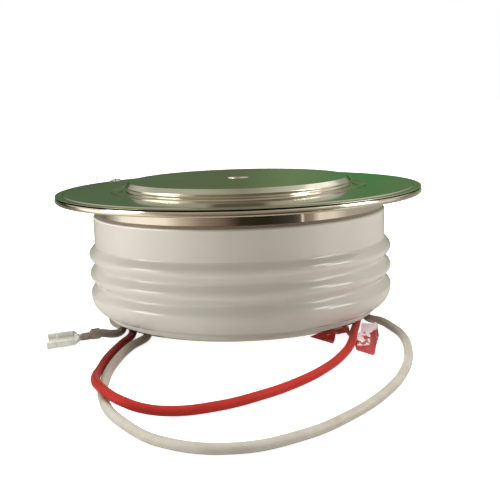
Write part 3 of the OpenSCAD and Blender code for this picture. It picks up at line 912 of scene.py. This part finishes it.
def push_on_terminal(name, node, route, roll):
    """Push-on terminal folded from one sheet: a grip on the insulation, a crimp on the strands and
    an open receptacle with curled walls, placed on the last stretch of its lead."""
    sheet = 0.25 * MM
    axis_height = 0.85 * MM
    grip_r = lead_r + 0.115 * MM
    grip_half = grip_r * radians(174)
    shell_half = 3.0 * MM
    rolled = [[0.48, 0], [0.17, 90], [0.18, 0], [0.17, 110]]
    crimped = [[0.13, 0], [0.34, 90], [0.06, 0], [0.47, 172]]
    rise = Vector((0, 0, 1))
    sideways = Vector((0, 1, 0))

    def station(x, z, half_width, bends):
        """A station by its place along the lead and its height, in millimetres."""
        return [Vector((x * MM, 0, z * MM)), rise, sideways, half_width, bends]

    grip_z = (axis_height - grip_r) / MM
    base_z = sheet / 2 / MM
    stations = [
        station(0, grip_z, grip_half * 0.96, evenly(168)),
        station(0.2, grip_z, grip_half, evenly(174)),
        station(1.45, grip_z, grip_half, evenly(174)),
        station(1.62, grip_z + 0.02, 0.95 * MM, evenly(100)),
        station(1.84, base_z, 0.9 * MM, evenly(90)),
        station(1.95, base_z, 1.90 * MM, crimped),
        station(2.1, base_z + 0.02, 1.98 * MM, crimped),
        station(3.1, base_z + 0.02, 1.98 * MM, crimped),
        station(3.25, base_z, 1.90 * MM, crimped),
        station(3.4, base_z, 1.05 * MM, evenly(80)),
        station(3.8, base_z, 1.15 * MM, evenly(60)),
        station(4.3, base_z, 1.7 * MM, [[0.6, 0], [0.25, 80], [0.15, 0]]),
    ]
    # The receptacle: how wide it is along its length, with two grooves pressed across it
    shell = [(4.7, 0.93), (4.95, 1), (5.05, 0.9), (5.25, 0.9), (5.35, 1), (7.6, 1), (7.7, 0.9),
             (7.9, 0.9), (8, 1), (9.4, 1), (9.6, 0.97)]
    stations += [station(x, base_z, shell_half * share, rolled) for x, share in shell]
    gaps = [1, 5, 2, 1, 2, 1, 5, 1, 2, 2, 3, 2, 2, 1, 1, 1, 8, 1, 1, 1, 5, 1]
    terminal = folded_sheet(name, stations, gaps, sheet, tinned_brass, 20, 0.03 * MM)
    along = terminal.data.attributes.new("along", "FLOAT", "POINT")
    for vertex in terminal.data.vertices:
        along.data[vertex.index].value = vertex.co.x / MM
    stand = terminal_stand(route, roll, axis_height)
    settled(terminal, stand)
    smoothed(terminal, 40)
    stands_for(terminal, "tinned_brass", node)
    return [terminal, bared_strands(name + "_strands", stand)]


# Red tag
tag_outline = [Vector((*point, 0)) * MM for point in [
    (12.3, -20), (16, -24.7), (16.9, -21.1), (17.6, -18.9), (19.2, -17.9), (19.3, -19.8),
    (20, -22), (19.5, -29.2), (22.1, -32.8), (24.8, -21), (25.7, -14), (25.3, -12.4),
    (23, -11.6), (21.8, -18.4), (19.9, -19), (20.3, -12.4), (14.8, -16.5),
]]


def red_tag():
    """Folded film: an outline filled, bisected into small cells and lifted into soft waves."""
    film = 0.06 * MM
    tag = chain("folded_red_tag", [*tag_outline, tag_outline[0]])
    bpy.ops.mesh.select_all(action="SELECT")
    bpy.ops.mesh.remove_doubles(threshold=0.002 * MM)
    bpy.ops.mesh.edge_face_add()
    for across, start, end in (((1, 0, 0), 12, 26), ((0, 1, 0), -34, -11)):
        for k in range(2 * start, 2 * end):
            bpy.ops.mesh.select_all(action="SELECT")
            bpy.ops.mesh.bisect(plane_co=Vector(across) * (k / 2 * MM), plane_no=across)
    bpy.ops.object.mode_set(mode="OBJECT")
    for vertex in tag.data.vertices:
        x, y = vertex.co.x / MM, vertex.co.y / MM
        curl = 0.9 * exp(-((x - 16.8) ** 2 + (y + 20.6) ** 2) / 1.2)
        edge_fold = 0.5 * exp(-((x - 25.4 + 0.16 * (-14 - y)) / 0.35) ** 2)
        wave = 0.03 * (1 + sin(1.9 * x + 0.8 * y))
        vertex.co.z = (0.04 + curl + edge_fold + wave) * MM
    apply_modifier(tag, "SOLIDIFY", thickness=film, offset=0, use_even_offset=True)
    edit(tag)
    closed_up()
    smoothed(tag, 50)
    tag.data.materials.append(red_film)
    return stands_for(tag, "red_film", "lead_tag")


upper_pole()
cap_flange()
weld_flange()
seal_ring()
lower_pole()
ceramic()
gate_passage()
joint_sleeves()
cathode_tab()
gate_end = push_on_terminal("gate_push_on_terminal", "gate_terminal", gate_route, -15)
cathode_end = push_on_terminal("cathode_push_on_terminal", "cathode_terminal", cathode_route, 0)
tag = red_tag()


# Stage: a white floor, a room that only polished surfaces mirror, and soft lamps
def seen_rays(tree):
    """1 for the camera's rays and for mirrored and refracted rays, and 0 for the others."""
    rays = add(tree, "LightPath")
    seen = reckon(tree, rays.outputs["Is Camera Ray"], rays.outputs["Is Glossy Ray"], "MAXIMUM")
    return reckon(tree, seen, rays.outputs["Is Transmission Ray"], "MAXIMUM")


def white_to_eye(tree, shade, glow):
    """Adds a white glow to a shader, for the rays that are seen."""
    strength = reckon(tree, seen_rays(tree), glow, "MULTIPLY")
    light = add(tree, "Emission", {"Color": (1, 1, 1, 1), "Strength": strength})
    lit = add(tree, "AddShader", {0: shade, 1: light.outputs[0]})
    tree.links.new(lit.outputs[0], tree.nodes["Material Output"].inputs["Surface"])


deselect()
bpy.ops.mesh.primitive_plane_add(size=8, location=(0, 0, 0))
floor = named("floor")
floor.visible_glossy = False
floor_paint, tree, shader = finish("floor_paint")
shader.inputs["Base Color"].default_value = (0.8, 0.8, 0.8, 1)
shader.inputs["Roughness"].default_value = 1
white_to_eye(tree, shader.outputs[0], 0.85)
floor.data.materials.append(floor_paint)

world = bpy.data.worlds.new("studio")
bpy.context.scene.world = world
world.use_nodes = True
tree = world.node_tree
tree.nodes.clear()
ambient = add(tree, "Background", {"Color": (1, 0.95, 0.9, 1), "Strength": 0.26})
backdrop = add(tree, "Background", {"Color": (1, 1, 1, 1), "Strength": 1.0})
mixed = add(tree, "MixShader", {
    0: seen_rays(tree), 1: ambient.outputs[0], 2: backdrop.outputs[0],
})
add(tree, "OutputWorld", {"Surface": mixed.outputs[0]})


def mirrored_only(piece):
    """A piece of the stage that only polished and glazed surfaces see."""
    for rays in ("camera", "diffuse", "transmission", "volume_scatter", "shadow"):
        setattr(piece, "visible_" + rays, False)


def ramp(tree, share, tones):
    """A ramp of colours, with its stops given in degrees of a full turn."""
    made = add(tree, "ValToRGB", {"Fac": share})
    for _ in range(len(tones) - 2):
        made.color_ramp.elements.new(0.5)
    for stop, (turn, colour) in zip(made.color_ramp.elements, tones):
        stop.position = turn / 360
        stop.color = (*colour, 1)
    return made.outputs["Color"]


def room_walls(tree, turn):
    """Colours of the walls above the horizon, below it and high up. They run from straight left
    at 0, through the front at 90 and the right at 180, to the back at 270."""
    upper = ramp(tree, turn, [
        (0, (3.0, 2.85, 2.6)), (20, (2.8, 2.6, 2.3)), (32, (1.2, 1.1, 0.9)),
        (50, (0.40, 0.35, 0.27)), (90, (0.23, 0.205, 0.16)), (128, (0.21, 0.18, 0.13)),
        (145, (0.34, 0.31, 0.24)), (160, (0.65, 0.62, 0.56)), (172, (1.05, 1.03, 0.98)),
        (192, (1.0, 0.98, 0.9)), (206, (0.3, 0.29, 0.24)), (250, (0.15, 0.24, 0.10)),
        (260, (0.10, 0.21, 0.085)), (266, (0.16, 0.24, 0.11)), (270, (0.115, 0.155, 0.077)),
        (281, (0.103, 0.163, 0.084)), (322, (0.05, 0.075, 0.04)), (336, (0.3, 0.29, 0.22)),
        (346, (2.0, 1.9, 1.75)), (359.5, (3.0, 2.85, 2.6)),
    ])
    lower = ramp(tree, turn, [
        (0, (1.4, 1.37, 1.25)), (32, (1.4, 1.32, 1.2)), (46, (0.75, 0.67, 0.56)),
        (62, (0.38, 0.29, 0.24)), (76, (0.25, 0.185, 0.15)), (83, (0.15, 0.105, 0.08)),
        (91, (0.04, 0.033, 0.023)), (112, (0.03, 0.027, 0.018)), (130, (0.07, 0.06, 0.05)),
        (136.9, (0.16, 0.13, 0.10)), (137.3, (1.7, 1.6, 1.5)), (137.7, (1.7, 1.6, 1.5)),
        (138.1, (0.28, 0.23, 0.18)), (146, (0.4, 0.35, 0.29)), (152, (1.1, 1.03, 0.93)),
        (166, (1.1, 1.03, 0.93)), (180, (0.6, 0.56, 0.5)), (230, (0.45, 0.42, 0.36)),
        (325, (0.25, 0.22, 0.17)), (338, (0.6, 0.57, 0.5)), (350, (1.3, 1.27, 1.15)),
        (359.5, (1.4, 1.37, 1.25)),
    ])
    high_up = ramp(tree, turn, [
        (0, (1.2, 1.16, 1.06)), (26, (1.15, 1.1, 0.98)), (40, (0.5, 0.42, 0.34)),
        (70, (0.32, 0.26, 0.21)), (120, (0.32, 0.26, 0.21)), (150, (0.5, 0.47, 0.40)),
        (160, (0.78, 0.75, 0.68)), (205, (0.72, 0.70, 0.62)), (240, (0.4, 0.4, 0.34)),
        (255, (0.15, 0.22, 0.10)), (290, (0.12, 0.18, 0.09)), (305, (0.5, 0.49, 0.43)),
        (320, (0.80, 0.78, 0.70)), (350, (1.2, 1.16, 1.06)),
    ])
    return upper, lower, high_up


def room_ceiling(tree, where, x):
    """The ceiling, from the left to the right, with a shade straight over the case."""
    colour = ramp(tree, spread(tree, x, 0, 1, -1, 1), [
        (54, (0.66, 0.68, 0.60)), (140, (0.52, 0.52, 0.43)), (180, (0.42, 0.40, 0.33)),
        (220, (0.46, 0.46, 0.38)), (286, (0.80, 0.81, 0.74)), (297, (0.95, 0.95, 0.88)),
        (301.5, (1.5, 1.5, 1.4)),
    ])
    overhead = spread(tree, length_of(tree, where, (1, 1, 0)), 1, 0, 0.24, 0.33)
    return blend_colours(tree, overhead, colour, (0.15, 0.14, 0.105, 1))


def window(tree, turn, height, at, half):
    """Where a window is: its middle and its half size, as degrees of turn and of height."""
    aside = off_by(tree, turn, at[0] / 360)
    up = off_by(tree, height, sin(radians(at[1])))
    return both(tree, spread(tree, aside, 1, 0, half[0] / 360, (half[0] + 4) / 360),
                spread(tree, up, 1, 0, sin(radians(half[1])), sin(radians(half[1] + 3))))


def mirrored_room():
    """A round room: bright at the left, dim in front, paler at the right and green at the back,
    with a window at the left and two at the right."""
    room_r = 1.2
    deselect()
    bpy.ops.mesh.primitive_uv_sphere_add(segments=64, ring_count=32, radius=room_r)
    room = named("mirrored_room")
    material, tree, shader = finish("room_paint", "Emission")
    seen = add(tree, "TexCoord").outputs["Object"]
    where = add(tree, "Mapping", {"Vector": seen, "Scale": [1 / room_r] * 3}).outputs["Vector"]
    x, y, height = axes(tree, where)
    turn = add(tree, "TexGradient", {"Vector": where}, gradient_type="RADIAL").outputs["Fac"]
    upper, lower, high_up = room_walls(tree, turn)
    wall = blend_colours(tree, spread(tree, height, 0, 1, -0.01, 0.03), lower, upper)
    # The back wall has an emerald patch at the right and a dark skirting that rises at its ends
    patch = (0.162, 0.98, 0.102)
    from_patch = add(tree, "VectorMath", {0: where, 1: patch}, operation="SUBTRACT").outputs[0]
    emerald = spread(tree, length_of(tree, from_patch, (1, 0.3, 3)), 1, 0, 0.006, 0.058)
    wall = blend_colours(tree, emerald, wall, (0.03, 0.27, 0.08, 1))
    edge = spread(tree, off_by(tree, x, 0), 0.072, 0.088, 0.11, 0.14)
    skirting = both(tree, spread(tree, reckon(tree, height, edge, "SUBTRACT"), 1, 0, 0, 0.006),
                    spread(tree, y, 0, 1, 0.9, 0.95))
    wall = blend_colours(tree, skirting, wall, (0.03, 0.05, 0.02, 1))
    wall = blend_colours(tree, spread(tree, height, 0, 1, 0.165, 0.2), wall, high_up)
    ceiling = room_ceiling(tree, where, x)
    colour = blend_colours(tree, spread(tree, height, 0, 1, 0.34, 0.55), wall, ceiling)
    deep = spread(tree, height, 0, 1, -0.45, -0.8)
    colour = blend_colours(tree, deep, colour, (0.42, 0.36, 0.29, 1))
    for at, half in (((15, 21), (11, 7)), ((168, 21), (10, 6)), ((163, 40), (7, 3))):
        pane = window(tree, turn, height, at, half)
        colour = blend_colours(tree, pane, colour, (8, 7.9, 7.4, 1))
    feed(tree, colour, shader, "Color")
    room.data.materials.append(material)
    mirrored_only(room)


def mirrored_table():
    """The pale table close to the case, as its lower edges mirror it."""
    deselect()
    bpy.ops.mesh.primitive_circle_add(vertices=64, radius=55 * MM, fill_type="NGON",
                                      location=(0, 0, -0.5 * MM))
    table = named("mirrored_table")
    material, tree, shader = finish("table_paint", "Emission")
    shader.inputs["Color"].default_value = (0.62, 0.58, 0.50, 1)
    table.data.materials.append(material)
    mirrored_only(table)


mirrored_room()
mirrored_table()


def softbox(name, turn, height, away, width, tall, watts):
    """A soft lamp aimed at the case. Turn is in degrees from the front towards the right."""
    light = bpy.data.lights.new(name, "AREA")
    light.shape = "RECTANGLE"
    light.size = width
    light.size_y = tall
    light.energy = watts
    made = in_scene(light)
    made.visible_glossy = False
    place = Vector((away * sin(radians(turn)), -away * cos(radians(turn)), height))
    facing = (place - Vector((0, 0, 15 * MM))).to_track_quat("Z", "Y").to_matrix().to_4x4()
    made.matrix_world = Matrix.Translation(place) @ facing


softbox("left_softbox", -80, 0.11, 0.70, 0.42, 0.20, 3.9)
softbox("right_softbox", 92, 0.13, 0.72, 0.36, 0.16, 3.0)
softbox("top_softbox", -20, 0.90, 0.04, 0.6, 0.6, 9.0)

# The leads ride on the case and are shown instead of their solids
stands_for(white_lead, "white_insulation", "gate_lead")
stands_for(red_lead, "red_insulation", "cathode_lead")

bpy.context.scene.view_settings.view_transform = "Standard"
